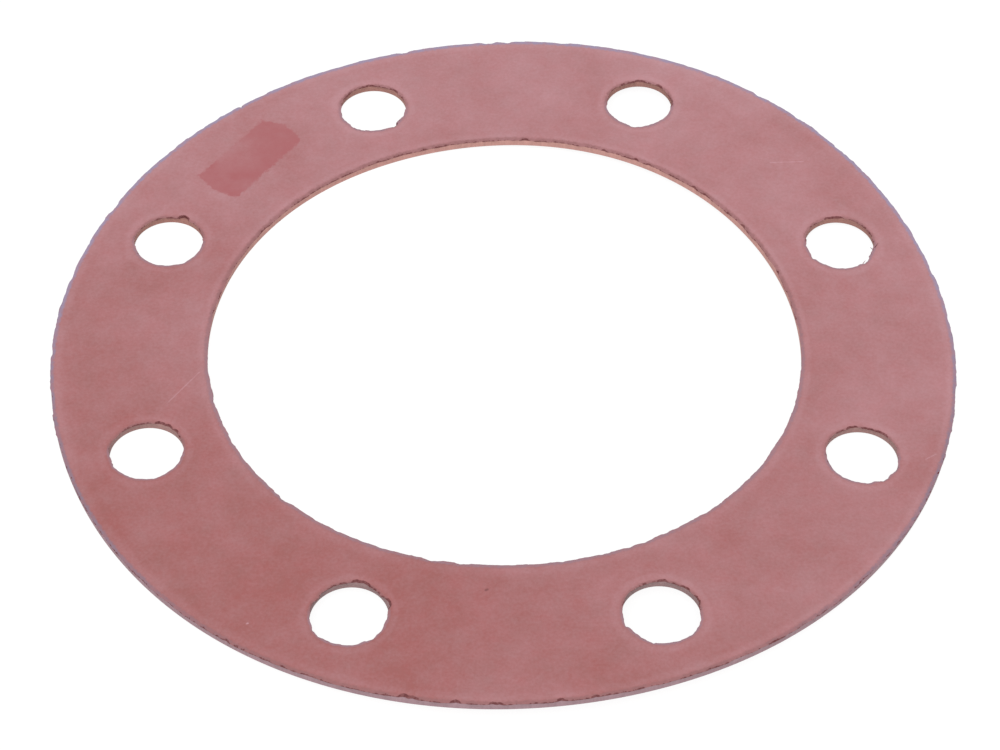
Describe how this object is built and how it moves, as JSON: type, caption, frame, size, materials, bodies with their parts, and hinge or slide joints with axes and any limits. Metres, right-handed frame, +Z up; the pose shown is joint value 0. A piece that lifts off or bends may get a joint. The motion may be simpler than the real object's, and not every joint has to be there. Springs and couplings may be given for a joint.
{
  "type": "rubber flange gasket",
  "caption": "Flat ring gasket die-cut from red rubber sheet, with a large bore and a ring of bolt holes, for sealing a bolted flange.",
  "frame": {"origin": "centre of the ring on its lower face, where it lies on a surface", "axes": "+Z up through the sheet along the bore axis; +X and +Y along two of the centrelines that the bolt holes straddle"},
  "size_m": [0.18, 0.18, 0.0016],
  "materials": {
    "red_rubber": "matte sheet rubber with a bloom of talc"
  },
  "bodies": {
    "root": {"gasket": "red_rubber"}
  },
  "joints": []
}
